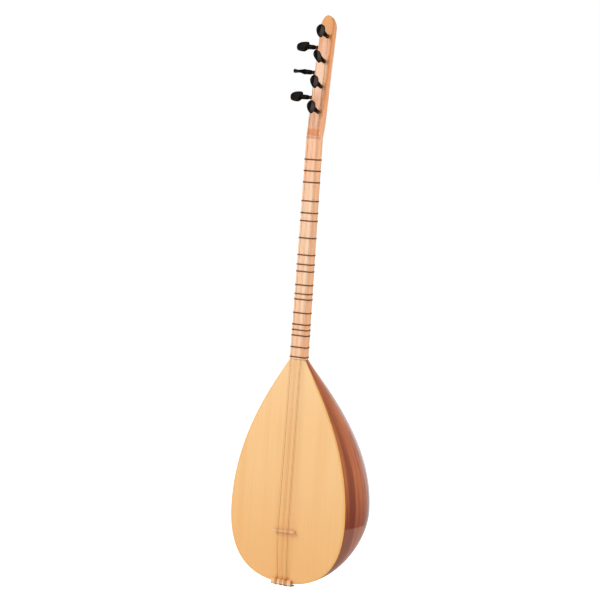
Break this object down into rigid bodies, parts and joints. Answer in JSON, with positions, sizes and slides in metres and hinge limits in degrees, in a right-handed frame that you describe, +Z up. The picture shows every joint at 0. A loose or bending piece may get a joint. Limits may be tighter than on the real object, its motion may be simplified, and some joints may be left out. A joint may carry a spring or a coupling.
{
  "type": "short-neck baglama",
  "caption": "Short-neck baglama with a staved pear-shaped bowl, spruce soundboard, tied movable frets, floating bridge, paired strings and T-layout friction pegs in a plain peghead.",
  "frame": {"origin": "under the nut, on the plane of the soundboard and the middle plane of the neck, where a hanger's yoke holds the neck below the lowest pegs", "axes": "+Z up along the neck towards the peghead, +X to the right of someone who faces the soundboard, -Y out of the soundboard"},
  "size_m": [0.225, 0.2297, 0.9704],
  "materials": {
    "top_spruce": "satin lacquer over straight grain",
    "bowl_mahogany": "gloss lacquer",
    "neck_beech": "satin lacquer",
    "bridge_maple": "bare, sanded",
    "inner_spruce": "bare",
    "peg_black": "black stain, polished",
    "fret_line": "brown line",
    "bone": "polished",
    "plain_string": "bright wire",
    "wound_string": "wound wire"
  },
  "bodies": {
    "instrument": {"soundboard": "top_spruce", "rib_1": "bowl_mahogany", "rib_2": "bowl_mahogany", "rib_3": "bowl_mahogany", "rib_4": "bowl_mahogany", "rib_5": "bowl_mahogany", "rib_6": "bowl_mahogany", "rib_7": "bowl_mahogany", "rib_8": "bowl_mahogany", "rib_9": "bowl_mahogany", "rib_10": "bowl_mahogany", "rib_11": "bowl_mahogany", "rib_12": "bowl_mahogany", "rib_13": "bowl_mahogany", "bowl_end_cap": "bowl_mahogany", "tail_block": "neck_beech", "neck_block": "neck_beech", "soundboard_brace_1": "inner_spruce", "soundboard_brace_2": "inner_spruce", "neck": "neck_beech", "peghead": "neck_beech", "nut": "bone", "tailpiece": "bone", "string_1": "plain_string", "string_2": "wound_string", "string_3": "plain_string", "string_4": "plain_string", "string_5": "plain_string", "string_6": "wound_string", "string_7": "plain_string"},
    "front_peg_1": {"front_peg_1": "peg_black"},
    "front_peg_2": {"front_peg_2": "peg_black"},
    "front_peg_3": {"front_peg_3": "peg_black"},
    "front_peg_4": {"front_peg_4": "peg_black"},
    "side_peg_1": {"side_peg_1": "peg_black"},
    "side_peg_2": {"side_peg_2": "peg_black"},
    "side_peg_3": {"side_peg_3": "peg_black"},
    "bridge": {"bridge": "bridge_maple"},
    "fret_1": {"fret_1": "fret_line"},
    "fret_2": {"fret_2": "fret_line"},
    "fret_3": {"fret_3": "fret_line"},
    "fret_4": {"fret_4": "fret_line"},
    "fret_5": {"fret_5": "fret_line"},
    "fret_6": {"fret_6": "fret_line"},
    "fret_7": {"fret_7": "fret_line"},
    "fret_8": {"fret_8": "fret_line"},
    "fret_9": {"fret_9": "fret_line"},
    "fret_10": {"fret_10": "fret_line"},
    "fret_11": {"fret_11": "fret_line"},
    "fret_12": {"fret_12": "fret_line"},
    "fret_13": {"fret_13": "fret_line"},
    "fret_14": {"fret_14": "fret_line"},
    "fret_15": {"fret_15": "fret_line"},
    "fret_16": {"fret_16": "fret_line"},
    "fret_17": {"fret_17": "fret_line"},
    "fret_18": {"fret_18": "fret_line"},
    "fret_19": {"fret_19": "fret_line"}
  },
  "joints": [
    {"name": "front_peg_1_turn", "type": "hinge", "parent": "instrument", "child": "front_peg_1", "pos_m": [0.0029, 0.00859, 0.04401], "axis": [0.1209, -0.9574, 0.2622], "continuous": true},
    {"name": "front_peg_2_turn", "type": "hinge", "parent": "instrument", "child": "front_peg_2", "pos_m": [0.0029, 0.01349, 0.08632], "axis": [0.1209, -0.9574, 0.2622], "continuous": true},
    {"name": "front_peg_3_turn", "type": "hinge", "parent": "instrument", "child": "front_peg_3", "pos_m": [0.0029, 0.01838, 0.12864], "axis": [0.1209, -0.9574, 0.2622], "continuous": true},
    {"name": "front_peg_4_turn", "type": "hinge", "parent": "instrument", "child": "front_peg_4", "pos_m": [0.0029, 0.02328, 0.17096], "axis": [0.1209, -0.9574, 0.2622], "continuous": true},
    {"name": "side_peg_1_turn", "type": "hinge", "parent": "instrument", "child": "side_peg_1", "pos_m": [-0.01294, 0.02103, 0.06713], "axis": [-0.9994, 0, 0.0349], "continuous": true},
    {"name": "side_peg_2_turn", "type": "hinge", "parent": "instrument", "child": "side_peg_2", "pos_m": [-0.01277, 0.02593, 0.10945], "axis": [-0.9994, 0, 0.0349], "continuous": true},
    {"name": "side_peg_3_turn", "type": "hinge", "parent": "instrument", "child": "side_peg_3", "pos_m": [-0.01261, 0.03083, 0.15177], "axis": [-0.9994, 0, 0.0349], "continuous": true},
    {"name": "bridge_shift", "type": "slide", "parent": "instrument", "child": "bridge", "axis": [0, 0, 1], "range_m": [-0.003, 0.003]},
    {"name": "fret_1_shift", "type": "slide", "parent": "instrument", "child": "fret_1", "axis": [0, 0, 1], "range_m": [-0.003, 0.003]},
    {"name": "fret_2_shift", "type": "slide", "parent": "instrument", "child": "fret_2", "axis": [0, 0, 1], "range_m": [-0.003, 0.003]},
    {"name": "fret_3_shift", "type": "slide", "parent": "instrument", "child": "fret_3", "axis": [0, 0, 1], "range_m": [-0.003, 0.003]},
    {"name": "fret_4_shift", "type": "slide", "parent": "instrument", "child": "fret_4", "axis": [0, 0, 1], "range_m": [-0.003, 0.003]},
    {"name": "fret_5_shift", "type": "slide", "parent": "instrument", "child": "fret_5", "axis": [0, 0, 1], "range_m": [-0.003, 0.003]},
    {"name": "fret_6_shift", "type": "slide", "parent": "instrument", "child": "fret_6", "axis": [0, 0, 1], "range_m": [-0.003, 0.003]},
    {"name": "fret_7_shift", "type": "slide", "parent": "instrument", "child": "fret_7", "axis": [0, 0, 1], "range_m": [-0.003, 0.003]},
    {"name": "fret_8_shift", "type": "slide", "parent": "instrument", "child": "fret_8", "axis": [0, 0, 1], "range_m": [-0.003, 0.003]},
    {"name": "fret_9_shift", "type": "slide", "parent": "instrument", "child": "fret_9", "axis": [0, 0, 1], "range_m": [-0.003, 0.003]},
    {"name": "fret_10_shift", "type": "slide", "parent": "instrument", "child": "fret_10", "axis": [0, 0, 1], "range_m": [-0.003, 0.003]},
    {"name": "fret_11_shift", "type": "slide", "parent": "instrument", "child": "fret_11", "axis": [0, 0, 1], "range_m": [-0.003, 0.003]},
    {"name": "fret_12_shift", "type": "slide", "parent": "instrument", "child": "fret_12", "axis": [0, 0, 1], "range_m": [-0.003, 0.003]},
    {"name": "fret_13_shift", "type": "slide", "parent": "instrument", "child": "fret_13", "axis": [0, 0, 1], "range_m": [-0.003, 0.003]},
    {"name": "fret_14_shift", "type": "slide", "parent": "instrument", "child": "fret_14", "axis": [0, 0, 1], "range_m": [-0.003, 0.003]},
    {"name": "fret_15_shift", "type": "slide", "parent": "instrument", "child": "fret_15", "axis": [0, 0, 1], "range_m": [-0.003, 0.003]},
    {"name": "fret_16_shift", "type": "slide", "parent": "instrument", "child": "fret_16", "axis": [0, 0, 1], "range_m": [-0.003, 0.003]},
    {"name": "fret_17_shift", "type": "slide", "parent": "instrument", "child": "fret_17", "axis": [0, 0, 1], "range_m": [-0.003, 0.003]},
    {"name": "fret_18_shift", "type": "slide", "parent": "instrument", "child": "fret_18", "axis": [0, 0, 1], "range_m": [-0.003, 0.003]},
    {"name": "fret_19_shift", "type": "slide", "parent": "instrument", "child": "fret_19", "axis": [0, 0, 1], "range_m": [-0.001, 0.003]}
  ]
}
